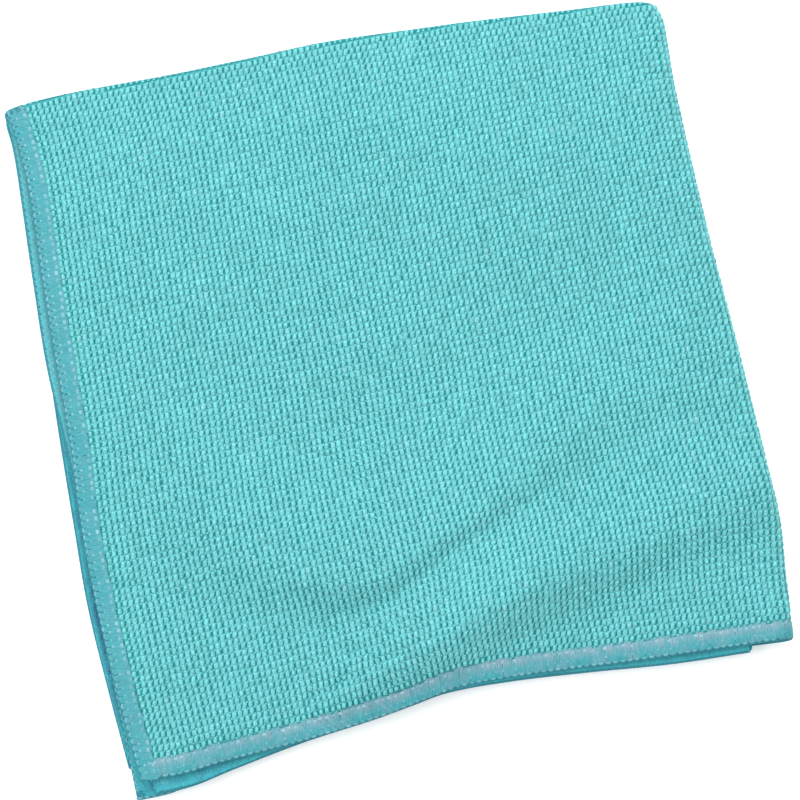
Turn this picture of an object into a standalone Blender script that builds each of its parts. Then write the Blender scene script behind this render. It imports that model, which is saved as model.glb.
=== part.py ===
"""Microfibre cloth, folded in quarters and lying flat.

The cloth is one square of pearl knit with an overlocked hem. It is folded in half at the top,
then in half again at the right, so four layers lie on each other: the top and the fourth are
the outside of the fold, the second and the third are inside it. Both folds are soft hairpins.
The sheet is worked out as a grid that runs over all four layers in one go, and is then given
the thickness of the fabric.

Sizes are in millimetres until a point is made. +X is to the folded side, +Y to the folded top.
"""

import math
from collections import namedtuple

import bpy

MM = 0.001

# The fabric
THICKNESS = 1.3             # of the knit
HEM_WIDTH = 5.7             # the overlocked band
HEM_THICKNESS_SHARE = 0.78  # the band is pressed thinner than the knit
HEM_STEP = 1.2              # over which the knit thins down to the band

# The stack
LAYER_PITCH = 2.0           # from the middle of one layer to the middle of the next
OUTER_RIM_DEPTH = 3.4       # how far the outer hairpin at the right bulges
INNER_RIM_DEPTH = 1.1       # the same of the hairpin inside it
TOP_RIM_DEPTH = 1.1         # of the two hairpins at the top
CENTRE_LIFT = 1.6           # air that the layers keep between them, at the middle

# Corners of the top layer
Corner = namedtuple("Corner", "x y")
TOP_LEFT = Corner(-99.15, 104.75)
TOP_RIGHT = Corner(102.35, 98.75)
BOTTOM_RIGHT = Corner(100.05, -99.35)
BOTTOM_LEFT = Corner(-97.75, -102.55)

# How far each edge bows away from the straight line between its corners (outwards is positive),
# and how far the lower layers show past the top one. A share runs 0 to 1 along the edge.
LeftEdge = namedtuple("LeftEdge", "down bow second third fourth")
LEFT_EDGE = (
    LeftEdge(0.000, 0.2, 1.0, 1.2, 0.8),
    LeftEdge(0.060, -1.2, 1.9, 1.6, 1.2),
    LeftEdge(0.125, -1.7, 3.0, 2.4, 2.0),
    LeftEdge(0.250, -0.4, 3.1, 2.5, 2.2),
    LeftEdge(0.375, 0.6, 3.1, 2.4, 2.6),
    LeftEdge(0.500, 1.2, 1.6, 1.8, 3.2),
    LeftEdge(0.625, 3.0, -0.5, -0.2, 2.3),
    LeftEdge(0.750, 3.2, -1.0, -0.1, 2.8),
    LeftEdge(0.875, 2.2, -2.0, 0.6, 2.8),
    LeftEdge(1.000, 0.4, -4.0, 2.3, 3.1),
)
BottomEdge = namedtuple("BottomEdge", "right bow second third fourth")
BOTTOM_EDGE = (
    BottomEdge(0.000, 0.0, 5.0, 5.4, -4.8),
    BottomEdge(0.060, 0.9, 3.9, 4.3, -4.0),
    BottomEdge(0.125, 0.0, 2.7, 2.4, -3.0),
    BottomEdge(0.250, -1.0, 0.2, -0.3, -2.4),
    BottomEdge(0.375, -3.1, 0.2, -0.3, -2.0),
    BottomEdge(0.440, -5.2, 0.7, 0.2, -1.6),
    BottomEdge(0.500, -6.7, 0.8, 0.4, -1.2),
    BottomEdge(0.625, -5.5, 0.5, 0.2, -1.0),
    BottomEdge(0.750, -3.3, 0.7, 0.4, -0.8),
    BottomEdge(0.875, -1.5, 1.6, 1.4, -0.4),
    BottomEdge(1.000, 0.3, 1.2, 1.2, 0.0),
)
TopEdge = namedtuple("TopEdge", "right bow lower_fold_inset")
TOP_EDGE = (
    TopEdge(0.000, 0.0, 2.4),
    TopEdge(0.040, 1.7, 2.2),
    TopEdge(0.125, 2.6, 1.6),
    TopEdge(0.250, 2.9, 1.2),
    TopEdge(0.375, 3.9, 1.2),
    TopEdge(0.500, 4.9, 1.2),
    TopEdge(0.625, 4.1, 1.0),
    TopEdge(0.750, 3.4, 0.8),
    TopEdge(0.875, 2.3, 0.6),
    TopEdge(0.970, 1.2, 0.4),
    TopEdge(1.000, 0.0, 0.4),
)
RightEdge = namedtuple("RightEdge", "down bow inner_fold_inset")
RIGHT_EDGE = (
    RightEdge(0.000, -2.4, 2.2),
    RightEdge(0.030, -1.2, 2.6),
    RightEdge(0.125, -1.8, 3.4),
    RightEdge(0.250, -1.4, 4.4),
    RightEdge(0.375, -0.7, 5.2),
    RightEdge(0.500, 0.6, 6.2),
    RightEdge(0.625, 1.7, 7.4),
    RightEdge(0.750, 2.6, 8.8),
    RightEdge(0.820, 2.9, 9.8),
    RightEdge(0.900, 1.4, 11.4),
    RightEdge(1.000, -0.3, 13.0),
)

# Soft ridges in the top layer. Each falls steeply over its near side (towards the bottom hem)
# and gently over its far side.
RidgePoint = namedtuple("RidgePoint", "x y height near_reach far_reach")
LONG_RIDGE = (
    RidgePoint(-74.0, -40.0, 0.0, 9.0, 30.0),
    RidgePoint(-50.0, -48.0, 3.2, 8.0, 30.0),
    RidgePoint(-22.0, -57.5, 5.2, 7.5, 30.0),
    RidgePoint(6.0, -48.0, 5.0, 7.5, 28.0),
    RidgePoint(34.0, -33.0, 3.6, 9.0, 26.0),
    RidgePoint(62.0, -16.0, 1.8, 12.0, 26.0),
    RidgePoint(100.0, -6.0, 1.0, 12.0, 24.0),
)
HEM_RIDGE = (
    RidgePoint(-46.0, -91.0, 0.0, 8.0, 14.0),
    RidgePoint(-24.0, -86.0, 4.2, 9.0, 16.0),
    RidgePoint(2.0, -77.0, 7.2, 9.5, 19.0),
    RidgePoint(30.0, -69.0, 6.8, 9.0, 20.0),
    RidgePoint(60.0, -63.0, 5.0, 9.0, 18.0),
    RidgePoint(98.0, -56.0, 2.8, 9.0, 16.0),
)
CORNER_RIDGE = (
    RidgePoint(36.0, 112.0, 1.4, 40.0, 26.0),
    RidgePoint(34.0, 84.0, 2.6, 40.0, 26.0),
    RidgePoint(38.0, 54.0, 2.9, 38.0, 26.0),
    RidgePoint(46.0, 24.0, 1.6, 34.0, 24.0),
    RidgePoint(58.0, 2.0, 0.0, 28.0, 20.0),
)
SIDE_RIDGE = (
    RidgePoint(98.0, 104.0, 0.6, 13.0, 10.0),
    RidgePoint(95.0, 70.0, 1.7, 13.0, 10.0),
    RidgePoint(94.0, 30.0, 1.7, 13.0, 10.0),
    RidgePoint(94.0, -14.0, 0.0, 12.0, 10.0),
)
RIDGES = (LONG_RIDGE, HEM_RIDGE, CORNER_RIDGE, SIDE_RIDGE)

# The layers from the surface up, and how much of the top layer's lift each one follows
LAYERS = ("fourth", "third", "second", "first")
LIFT_SHARE = {"fourth": 0.0, "third": 0.25, "second": 0.6, "first": 1.0}

# The gap under each layer is a little uneven: a shallow wave of its own runs across it
GapWave = namedtuple("GapWave", "layer height length_x length_y start")
GAP_WAVES = (
    GapWave("first", 0.22, 118.0, 74.0, 0.4),
    GapWave("second", 0.20, -92.0, 105.0, 2.1),
    GapWave("third", 0.20, 84.0, -131.0, 4.0),
)

# The grid over the sheet, in cells
UPPER_CELLS_ACROSS = 21
LOWER_CELLS_ACROSS = 13
RIM_CELLS_ACROSS = 8
OUTER_CELLS_NEAR = 20       # in the half of the layer with the steepest ridges
OUTER_CELLS_FAR = 8
INNER_CELLS_DOWN = 13
RIM_CELLS_DOWN = 6
RIDGE_STEPS = 12            # along each stretch of a ridge

TEAL = (0.13, 0.55, 0.57, 1.0)


def read_edge(edge, share, column):
    """Value of a named column of an edge's table, on a smooth curve through its rows."""
    knots = [row[0] for row in edge]
    values = [getattr(row, column) for row in edge]
    last = len(edge) - 1
    index = max(i for i in range(last) if share >= knots[i] or i == 0)
    gap = knots[index + 1] - knots[index]
    part = (share - knots[index]) / gap

    def slope(i):
        before = max(0, i - 1)
        after = min(last, i + 1)
        return (values[after] - values[before]) / (knots[after] - knots[before])

    start = values[index]
    end = values[index + 1]
    start_turn = slope(index) * gap
    end_turn = slope(index + 1) * gap
    square = part * part
    cube = square * part
    return (start * (2 * cube - 3 * square + 1) + start_turn * (cube - 2 * square + part)
            + end * (3 * square - 2 * cube) + end_turn * (cube - square))


def blend(start, end, share):
    return start + (end - start) * share


def layer_place(layer, across, down):
    """Where a point of a layer lies, from its shares across (left to right) and down."""
    left = blend(TOP_LEFT.x, BOTTOM_LEFT.x, down) - read_edge(LEFT_EDGE, down, "bow")
    right = blend(TOP_RIGHT.x, BOTTOM_RIGHT.x, down) + read_edge(RIGHT_EDGE, down, "bow")
    top = blend(TOP_LEFT.y, TOP_RIGHT.y, across) + read_edge(TOP_EDGE, across, "bow")
    bottom = blend(BOTTOM_LEFT.y, BOTTOM_RIGHT.y, across) - read_edge(BOTTOM_EDGE, across, "bow")
    if layer != "first":
        left -= read_edge(LEFT_EDGE, down, layer)
        bottom -= read_edge(BOTTOM_EDGE, across, layer)
    if layer in ("second", "third"):
        right -= read_edge(RIGHT_EDGE, down, "inner_fold_inset")
    if layer in ("third", "fourth"):
        top -= read_edge(TOP_EDGE, across, "lower_fold_inset")
    return blend(left, right, across), blend(top, bottom, down)


def ridge_samples(ridge):
    """Points close together along a ridge, each with its height and reaches."""
    samples = []
    length = 0.0
    distances = [0.0]
    for before, after in zip(ridge, ridge[1:]):
        length += math.hypot(after.x - before.x, after.y - before.y)
        distances.append(length)
    table_row = namedtuple("RidgeRow", "along x y height near_reach far_reach")
    rows = [table_row(distance, *point) for distance, point in zip(distances, ridge)]
    count = RIDGE_STEPS * (len(ridge) - 1)
    for step in range(count + 1):
        along = length * step / count
        samples.append(RidgePoint(*(read_edge(rows, along, name) for name in RidgePoint._fields)))
    return samples


def ridge_lift(samples, x, y):
    """Height of a ridge over a point, which falls off as a bell on either side."""
    nearest = min(range(len(samples)),
                  key=lambda i: (samples[i].x - x) ** 2 + (samples[i].y - y) ** 2)
    before = samples[max(0, nearest - 1)]
    after = samples[min(len(samples) - 1, nearest + 1)]
    run_x = after.x - before.x
    run_y = after.y - before.y
    here = samples[nearest]
    away = math.hypot(here.x - x, here.y - y)
    on_near_side = run_x * (y - here.y) - run_y * (x - here.x) < 0.0
    reach = here.near_reach if on_near_side else here.far_reach
    return max(0.0, here.height) * math.exp(-(away / reach) ** 2)


def lift_at(sampled_ridges, x, y):
    """How much air lies under the top layer at a point, over that of a pressed stack."""
    half = 100.0
    dome = max(0.0, 1.0 - (x / half) ** 4) * max(0.0, 1.0 - (y / half) ** 4)
    lifts = [ridge_lift(samples, x, y) for samples in sampled_ridges]
    highest = max(lifts)
    return CENTRE_LIFT * dome + highest + 0.35 * (sum(lifts) - highest)


def layer_height(layer, x, y, lift):
    """Height of the middle of a layer over the surface that the cloth lies on."""
    rank = LAYERS.index(layer)
    waves = sum(wave.height * math.sin(math.tau * (x / wave.length_x + y / wave.length_y) + wave.start)
                for wave in GAP_WAVES if LAYERS.index(wave.layer) <= rank)
    return THICKNESS / 2.0 + LAYER_PITCH * rank + lift * LIFT_SHARE[layer] + waves


# A station of the grid: its share along a layer, counted to where the rim starts, how far it is
# round the rim (0 to 1), and whether it lies past the fold, in the hidden half of the sheet
Station = namedtuple("Station", "share round past_fold")


def stations(shares_before, shares_after, rim_cells):
    """Stations from one cut edge of the sheet, round a fold, to the other cut edge."""
    before = [Station(share, 0.0, 0.0) for share in shares_before]
    rim = []
    for step in range(1, rim_cells):
        turn = step / rim_cells
        rim.append(Station(1.0, math.sin(math.pi * turn), (1.0 - math.cos(math.pi * turn)) / 2.0))
    after = [Station(share, 0.0, 1.0) for share in reversed(shares_after)]
    return before + rim + after


def layer_shares(cells, size, near_cells=None):
    """Shares from a hem to where the rim starts: the hem's own lines, then even cells."""
    hem_inner = HEM_WIDTH / size
    knit_start = (HEM_WIDTH + HEM_STEP) / size
    shares = [0.0, hem_inner, knit_start]
    if near_cells is None:
        return shares + [blend(knit_start, 1.0, step / cells) for step in range(1, cells + 1)]
    middle = 0.5
    near = [blend(knit_start, middle, step / near_cells) for step in range(1, near_cells + 1)]
    far = [blend(middle, 1.0, step / cells) for step in range(1, cells + 1)]
    return shares + near + far


def sheet_grid():
    """Points of the sheet's middle surface and the share of its thickness, row by row."""
    width = TOP_RIGHT.x - TOP_LEFT.x
    height = TOP_LEFT.y - BOTTOM_LEFT.y
    columns = stations(layer_shares(UPPER_CELLS_ACROSS, width),
                       layer_shares(LOWER_CELLS_ACROSS, width), RIM_CELLS_ACROSS)
    rows = stations(layer_shares(OUTER_CELLS_FAR, height, OUTER_CELLS_NEAR),
                    layer_shares(INNER_CELLS_DOWN, height), RIM_CELLS_DOWN)
    sampled_ridges = [ridge_samples(ridge) for ridge in RIDGES]
    points = []
    thickness_shares = []
    for row in rows:
        rim_depth = blend(OUTER_RIM_DEPTH, INNER_RIM_DEPTH, row.past_fold)
        up = 1.0 - (TOP_RIM_DEPTH / height) * (1.0 - row.round)
        down = 1.0 - row.share * (1.0 - TOP_RIM_DEPTH / height) if row.round == 0.0 else 1.0 - up
        for column in columns:
            flat_end = 1.0 - rim_depth / width
            across = column.share * flat_end + (rim_depth / width) * column.round
            weights = {
                "first": (1.0 - column.past_fold) * (1.0 - row.past_fold),
                "second": (1.0 - column.past_fold) * row.past_fold,
                "third": column.past_fold * row.past_fold,
                "fourth": column.past_fold * (1.0 - row.past_fold),
            }
            x = y = z = 0.0
            for layer, weight in weights.items():
                if weight == 0.0:
                    continue
                layer_x, layer_y = layer_place(layer, across, down)
                lift = lift_at(sampled_ridges, layer_x, layer_y)
                x += weight * layer_x
                y += weight * layer_y
                z += weight * layer_height(layer, layer_x, layer_y, lift)
            points.append((x * MM, y * MM, z * MM))
            in_hem = min(column.share * width, row.share * height) <= HEM_WIDTH + 0.001
            thickness_shares.append(HEM_THICKNESS_SHARE if in_hem else 1.0)
    return points, thickness_shares, len(rows), len(columns)


def cloth_material():
    material = bpy.data.materials.new("cloth")
    material.use_nodes = True
    shader = material.node_tree.nodes["Principled BSDF"]
    shader.inputs["Base Color"].default_value = TEAL
    shader.inputs["Roughness"].default_value = 0.9
    shader.inputs["Metallic"].default_value = 0.0
    return material


def make_cloth(collection):
    points, thickness_shares, row_count, column_count = sheet_grid()
    faces = []
    for row in range(row_count - 1):
        for column in range(column_count - 1):
            corner = row * column_count + column
            faces.append((corner, corner + 1, corner + column_count + 1, corner + column_count))
    mesh = bpy.data.meshes.new("cloth")
    mesh.from_pydata(points, [], faces)
    mesh.materials.append(cloth_material())
    mesh.shade_smooth()
    cloth = bpy.data.objects.new("cloth", mesh)
    collection.objects.link(cloth)

    fabric = cloth.vertex_groups.new(name="fabric")
    for index, share in enumerate(thickness_shares):
        fabric.add([index], share, "REPLACE")
    thickness = cloth.modifiers.new("thickness", "SOLIDIFY")
    thickness.thickness = THICKNESS * MM
    thickness.offset = 0.0
    thickness.use_even_offset = True
    thickness.vertex_group = fabric.name
    return cloth


def main():
    for old in list(bpy.data.objects):
        bpy.data.objects.remove(old)
    collection = bpy.data.collections.new("microfibre_cloth")
    bpy.context.scene.collection.children.link(collection)
    make_cloth(collection)


main()
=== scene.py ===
"""Looks of the microfibre cloth: its knitted face, its overlocked hem, and the light it lies in.

The cloth is folded in quarters. The folds come from the same tables as the solid's, so every
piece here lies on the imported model. Tables are in millimetres, and meshes are in metres.
"""

import math
from collections import namedtuple

import bpy
import numpy as np
from mathutils import Euler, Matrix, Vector


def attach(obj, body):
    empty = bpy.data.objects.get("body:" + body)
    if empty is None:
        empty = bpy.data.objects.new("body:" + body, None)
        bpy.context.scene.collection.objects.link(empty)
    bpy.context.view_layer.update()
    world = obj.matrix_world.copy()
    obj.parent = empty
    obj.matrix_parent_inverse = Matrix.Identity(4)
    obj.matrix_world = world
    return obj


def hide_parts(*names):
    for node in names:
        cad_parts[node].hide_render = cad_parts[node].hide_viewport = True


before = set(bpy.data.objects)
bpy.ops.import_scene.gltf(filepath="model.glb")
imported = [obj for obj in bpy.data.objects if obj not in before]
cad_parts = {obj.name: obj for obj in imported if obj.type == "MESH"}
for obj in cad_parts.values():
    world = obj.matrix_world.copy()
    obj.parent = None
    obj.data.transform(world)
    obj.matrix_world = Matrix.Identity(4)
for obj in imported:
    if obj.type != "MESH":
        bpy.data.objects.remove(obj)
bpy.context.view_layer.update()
scene = bpy.context.scene


# ---- The table and the light ----
# A white table, lit a little from below as for a catalogue, a large softbox up and to the right
# that picks out the knit from the side, a second one at the left, and the studio's pale walls.

FLOOR_SIDE = 6.0
FLOOR_DROP = 0.0002  # just under the cloth
FLOOR_WHITE = (0.93, 0.93, 0.93, 1.0)
FLOOR_GLOW = 0.24
WALL_WHITE = (1.0, 1.0, 1.0, 1.0)
Softbox = namedtuple("Softbox", "name place side power")
SOFTBOXES = (
    Softbox("key_softbox", Vector((0.48, 0.86, 0.72)), 0.75, 12.0),
    Softbox("fill_softbox", Vector((-1.15, 0.0, 0.85)), 1.0, 12.0),
)


def add_node(tree, kind, inputs=None, **settings):
    """Add a node. Its inputs take a value, an output, or a node, which stands for its first one."""
    node = tree.nodes.new(kind)
    for name, value in settings.items():
        setattr(node, name, value)
    for socket, value in (inputs or {}).items():
        if isinstance(value, bpy.types.Node):
            value = value.outputs[0]
        if isinstance(value, bpy.types.NodeSocket):
            tree.links.new(value, node.inputs[socket])
        else:
            node.inputs[socket].default_value = value
    return node


def new_material(name, **constants):
    """A material with a Principled shader whose constant values are set on its own sockets."""
    material = bpy.data.materials.new(name)
    material.use_nodes = True
    shader = material.node_tree.nodes["Principled BSDF"]
    for socket, value in constants.items():
        shader.inputs[socket.replace("_", " ")].default_value = value
    return material, material.node_tree, shader


def link_object(name, data):
    """An object of its own in the scene, at the origin, for a mesh, a lamp or the camera."""
    item = bpy.data.objects.new(name, data)
    scene.collection.objects.link(item)
    return item


def mesh_of(name, points, edges=(), faces=()):
    mesh = bpy.data.meshes.new(name)
    mesh.from_pydata(points, edges, faces)
    return mesh


half = FLOOR_SIDE / 2.0
floor_mesh = mesh_of("floor", [
    (x, y, -FLOOR_DROP) for x, y in ((-half, -half), (half, -half), (half, half), (-half, half))
], faces=[(0, 1, 2, 3)])
floor_mesh.materials.append(new_material(
    "white_table", Base_Color=FLOOR_WHITE, Roughness=0.9, Emission_Color=FLOOR_WHITE,
    Emission_Strength=FLOOR_GLOW)[0])
floor = link_object("floor", floor_mesh)

for softbox in SOFTBOXES:
    lamp = bpy.data.lights.new(softbox.name, "AREA")
    lamp.shape = "SQUARE"
    lamp.size = softbox.side
    lamp.energy = softbox.power
    hung = link_object(softbox.name, lamp)
    hung.location = softbox.place
    hung.rotation_euler = softbox.place.to_track_quat("Z", "Y").to_euler()

studio = bpy.data.worlds.new("studio")
studio.use_nodes = True
studio.node_tree.nodes["Background"].inputs["Color"].default_value = WALL_WHITE
scene.world = studio
scene.view_settings.view_transform = "Standard"


# ---- The camera ----
# The photograph was taken from nearly overhead with a long lens, a little from the front and
# from the left, so that the cloth's right side is raised in the picture.

CAMERA_AZIMUTH = math.radians(-11.5)
CAMERA_ELEVATION = math.radians(80.0)
CAMERA_DISTANCE = 1.5
CAMERA_LENS = 225.0
CAMERA_TARGET = Vector((-0.00025, -0.00585, 0.007))

camera_data = bpy.data.cameras.new("camera")
camera_data.lens = CAMERA_LENS
camera = link_object("camera", camera_data)
turn = Euler((math.pi / 2.0 - CAMERA_ELEVATION, 0.0, CAMERA_AZIMUTH))
camera.rotation_euler = turn
camera.location = CAMERA_TARGET + turn.to_matrix() @ Vector((0.0, 0.0, CAMERA_DISTANCE))
scene.camera = camera


# ---- The folded knit ----
# One square of pearl knit, folded in half at the top and again at the right, so that four
# layers lie on each other. It is a single sheet, laid on the folds by the tables below.

MM = 0.001
KNIT_THICKNESS = 0.9  # of the ground that the pearls stand on
HEM_WIDTH = 5.7
HEM_THICKNESS_SHARE = 0.62
HEM_STEP = 1.2
HAIR = 0.001
SOLID_THICKNESS = 1.3  # of the solid, which takes in the pearls
LAYER_PITCH = 2.0
OUTER_RIM_DEPTH = 3.4
INNER_RIM_DEPTH = 1.1
TOP_RIM_DEPTH = 1.1
CENTRE_LIFT = 1.6
CENTRE_REACH = 100.0

Corner = namedtuple("Corner", "x y")
TOP_LEFT = Corner(-99.15, 104.75)
TOP_RIGHT = Corner(102.35, 98.75)
BOTTOM_RIGHT = Corner(100.05, -99.35)
BOTTOM_LEFT = Corner(-97.75, -102.55)
SHEET_WIDTH = TOP_RIGHT.x - TOP_LEFT.x
SHEET_HEIGHT = TOP_LEFT.y - BOTTOM_LEFT.y


def table(columns, rows):
    """Rows of values with named columns."""
    row = namedtuple("row", columns)
    return [row(*values) for values in rows]


# How far each edge bows away from the straight line between its corners (outwards is positive),
# and how far the lower layers show past the top one. A share runs 0 to 1 along the edge.
LEFT_EDGE = table("down bow second third fourth", (
    (0.0, 0.2, 1.0, 1.2, 0.8),
    (0.06, -1.2, 1.9, 1.6, 1.2),
    (0.125, -1.7, 3.0, 2.4, 2.0),
    (0.25, -0.4, 3.1, 2.5, 2.2),
    (0.375, 0.6, 3.1, 2.4, 2.6),
    (0.5, 1.2, 1.6, 1.8, 3.2),
    (0.625, 3.0, -0.5, -0.2, 2.3),
    (0.75, 3.2, -1.0, -0.1, 2.8),
    (0.875, 2.2, -2.0, 0.6, 2.8),
    (1.0, 0.4, -4.0, 2.3, 3.1),
))
BOTTOM_EDGE = table("right bow second third fourth", (
    (0.0, 0.0, 5.0, 5.4, -4.8),
    (0.06, 0.9, 3.9, 4.3, -4.0),
    (0.125, 0.0, 2.7, 2.4, -3.0),
    (0.25, -1.0, 0.2, -0.3, -2.4),
    (0.375, -3.1, 0.2, -0.3, -2.0),
    (0.44, -5.2, 0.7, 0.2, -1.6),
    (0.5, -6.7, 0.8, 0.4, -1.2),
    (0.625, -5.5, 0.5, 0.2, -1.0),
    (0.75, -3.3, 0.7, 0.4, -0.8),
    (0.875, -1.5, 1.6, 1.4, -0.4),
    (1.0, 0.3, 1.2, 1.2, 0.0),
))
TOP_EDGE = table("right bow lower_fold_inset", (
    (0.0, 0.0, 2.4),
    (0.04, 1.7, 2.2),
    (0.125, 2.6, 1.6),
    (0.25, 2.9, 1.2),
    (0.375, 3.9, 1.2),
    (0.5, 4.9, 1.2),
    (0.625, 4.1, 1.0),
    (0.75, 3.4, 0.8),
    (0.875, 2.3, 0.6),
    (0.97, 1.2, 0.4),
    (1.0, 0.0, 0.4),
))
RIGHT_EDGE = table("down bow inner_fold_inset", (
    (0.0, -2.4, 2.2),
    (0.03, -1.2, 2.6),
    (0.125, -1.8, 3.4),
    (0.25, -1.4, 4.4),
    (0.375, -0.7, 5.2),
    (0.5, 0.6, 6.2),
    (0.625, 1.7, 7.4),
    (0.75, 2.6, 8.8),
    (0.82, 2.9, 9.8),
    (0.9, 1.4, 11.4),
    (1.0, -0.3, 13.0),
))

# Soft ridges in the top layer. Each falls steeply over its near side (towards the bottom hem)
# and gently over its far side.
RIDGE_COLUMNS = "x y height near_reach far_reach"
LONG_RIDGE = table(RIDGE_COLUMNS, (
    (-74.0, -40.0, 0.0, 9.0, 30.0),
    (-50.0, -48.0, 3.2, 8.0, 30.0),
    (-22.0, -57.5, 5.2, 7.5, 30.0),
    (6.0, -48.0, 5.0, 7.5, 28.0),
    (34.0, -33.0, 3.6, 9.0, 26.0),
    (62.0, -16.0, 1.8, 12.0, 26.0),
    (100.0, -6.0, 1.0, 12.0, 24.0),
))
HEM_RIDGE = table(RIDGE_COLUMNS, (
    (-46.0, -91.0, 0.0, 8.0, 14.0),
    (-24.0, -86.0, 4.2, 9.0, 16.0),
    (2.0, -77.0, 7.2, 9.5, 19.0),
    (30.0, -69.0, 6.8, 9.0, 20.0),
    (60.0, -63.0, 5.0, 9.0, 18.0),
    (98.0, -56.0, 2.8, 9.0, 16.0),
))
CORNER_RIDGE = table(RIDGE_COLUMNS, (
    (36.0, 112.0, 1.4, 40.0, 26.0),
    (34.0, 84.0, 2.6, 40.0, 26.0),
    (38.0, 54.0, 2.9, 38.0, 26.0),
    (46.0, 24.0, 1.6, 34.0, 24.0),
    (58.0, 2.0, 0.0, 28.0, 20.0),
))
SIDE_RIDGE = table(RIDGE_COLUMNS, (
    (98.0, 104.0, 0.6, 13.0, 10.0),
    (95.0, 70.0, 1.7, 13.0, 10.0),
    (94.0, 30.0, 1.7, 13.0, 10.0),
    (94.0, -14.0, 0.0, 12.0, 10.0),
))
RIDGE_STEPS = 16
LOWER_RIDGE_SHARE = 0.35  # of what the lower of two ridges adds where they cross

# The layers from the surface up, and how much of the top layer's lift each one follows
LAYERS = ("fourth", "third", "second", "first")
LIFT_SHARE = {"fourth": 0.0, "third": 0.25, "second": 0.6, "first": 1.0}
GAP_WAVES = table("layer height length_x length_y start", (
    ("first", 0.22, 118.0, 74.0, 0.4),
    ("second", 0.2, -92.0, 105.0, 2.1),
    ("third", 0.2, 84.0, -131.0, 4.0),
))

# One stitch of the knit, along its row and from row to row
STITCH_WIDTH = 1.8
STITCH_HEIGHT = 1.95

# Cells of the sheet's grid
UPPER_CELLS_ACROSS = 84
LOWER_CELLS_ACROSS = 52
OUTER_RIM_CELLS = 14
OUTER_CELLS_UP = 92
INNER_CELLS_UP = 46
TOP_RIM_CELLS = 8

# The ground's colour down in the slits between pearls, painted darker as shade
SLIT_SHADE_TEAL = (0.006, 0.165, 0.18, 1.0)
GROUND_TEAL = (0.035, 0.27, 0.285, 1.0)
# The knit under the hem, seen through the holes between stitches: bluer than the knit and a little
# darker than the threads, partly as painted shade in those holes
HEM_GROUND = (0.022, 0.21, 0.27, 1.0)
PATCH_FINENESS = 42.0
BUMP_STRENGTH = 0.6


def read_edge(edge, share, column):
    """A named column of an edge's table at the given shares, on a smooth curve through its rows."""
    knots = np.array([row[0] for row in edge])
    values = np.array([getattr(row, column) for row in edge])
    padded = np.pad([knots, values], ((0, 0), (1, 1)), "edge")
    runs, rises = padded[:, 2:] - padded[:, :-2]
    slopes = rises / runs
    row = np.clip(np.searchsorted(knots, share, side="right") - 1, 0, len(knots) - 2)
    gap = knots[row + 1] - knots[row]
    part = (share - knots[row]) / gap
    square = part * part
    cube = square * part
    return (values[row] * (2 * cube - 3 * square + 1)
            + slopes[row] * gap * (cube - 2 * square + part)
            + values[row + 1] * (3 * square - 2 * cube) + slopes[row + 1] * gap * (cube - square))


def blend(start, end, share):
    return start + (end - start) * share


def layer_place(layer, across, down):
    """Where points of a layer lie, from their shares across (left to right) and down."""
    left = blend(TOP_LEFT.x, BOTTOM_LEFT.x, down) - read_edge(LEFT_EDGE, down, "bow")
    right = blend(TOP_RIGHT.x, BOTTOM_RIGHT.x, down) + read_edge(RIGHT_EDGE, down, "bow")
    top = blend(TOP_LEFT.y, TOP_RIGHT.y, across) + read_edge(TOP_EDGE, across, "bow")
    bottom = blend(BOTTOM_LEFT.y, BOTTOM_RIGHT.y, across) - read_edge(BOTTOM_EDGE, across, "bow")
    if layer != "first":
        left = left - read_edge(LEFT_EDGE, down, layer)
        bottom = bottom - read_edge(BOTTOM_EDGE, across, layer)
    if layer in ("second", "third"):
        right = right - read_edge(RIGHT_EDGE, down, "inner_fold_inset")
    if layer in ("third", "fourth"):
        top = top - read_edge(TOP_EDGE, across, "lower_fold_inset")
    return blend(left, right, across), blend(top, bottom, down)


def ridge_samples(ridge):
    """Points close together along a ridge, each with its height and reaches."""
    steps = np.hypot(*np.diff([(point.x, point.y) for point in ridge], axis=0).T)
    distances = np.concatenate([[0.0], np.cumsum(steps)])
    rows = table(f"along {RIDGE_COLUMNS}", np.column_stack([distances, ridge]).tolist())
    along = np.linspace(0.0, distances[-1], RIDGE_STEPS * (len(ridge) - 1) + 1)
    columns = [read_edge(rows, along, name) for name in RIDGE_COLUMNS.split()]
    return table(RIDGE_COLUMNS, [columns])[0]


def ridge_lift(samples, x, y):
    """Height of a ridge over points, which falls off as a bell on either side of its crest."""
    run_x = np.gradient(samples.x)
    run_y = np.gradient(samples.y)
    length = np.hypot(run_x, run_y)
    nearest = np.argmin((samples.x - x[:, None]) ** 2 + (samples.y - y[:, None]) ** 2, axis=1)
    gap_x = x - samples.x[nearest]
    gap_y = y - samples.y[nearest]
    side = (run_x[nearest] * gap_y - run_y[nearest] * gap_x) / length[nearest]
    at_end = (nearest == 0) | (nearest == len(samples.x) - 1)
    away = np.where(at_end, np.hypot(gap_x, gap_y), np.abs(side))
    reach = np.where(side < 0.0, samples.near_reach[nearest], samples.far_reach[nearest])
    return np.maximum(0.0, samples.height[nearest]) * np.exp(-(away / reach) ** 2)


RIDGES = [ridge_samples(ridge) for ridge in (LONG_RIDGE, HEM_RIDGE, CORNER_RIDGE, SIDE_RIDGE)]


def lift_at(x, y):
    """How much air lies under the top layer at points, over that of a pressed stack."""
    dome = (np.maximum(0.0, 1.0 - (x / CENTRE_REACH) ** 4)
            * np.maximum(0.0, 1.0 - (y / CENTRE_REACH) ** 4))
    lifts = [ridge_lift(samples, x, y) for samples in RIDGES]
    highest = np.max(lifts, axis=0)
    return CENTRE_LIFT * dome + highest + LOWER_RIDGE_SHARE * (np.sum(lifts, axis=0) - highest)


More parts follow.
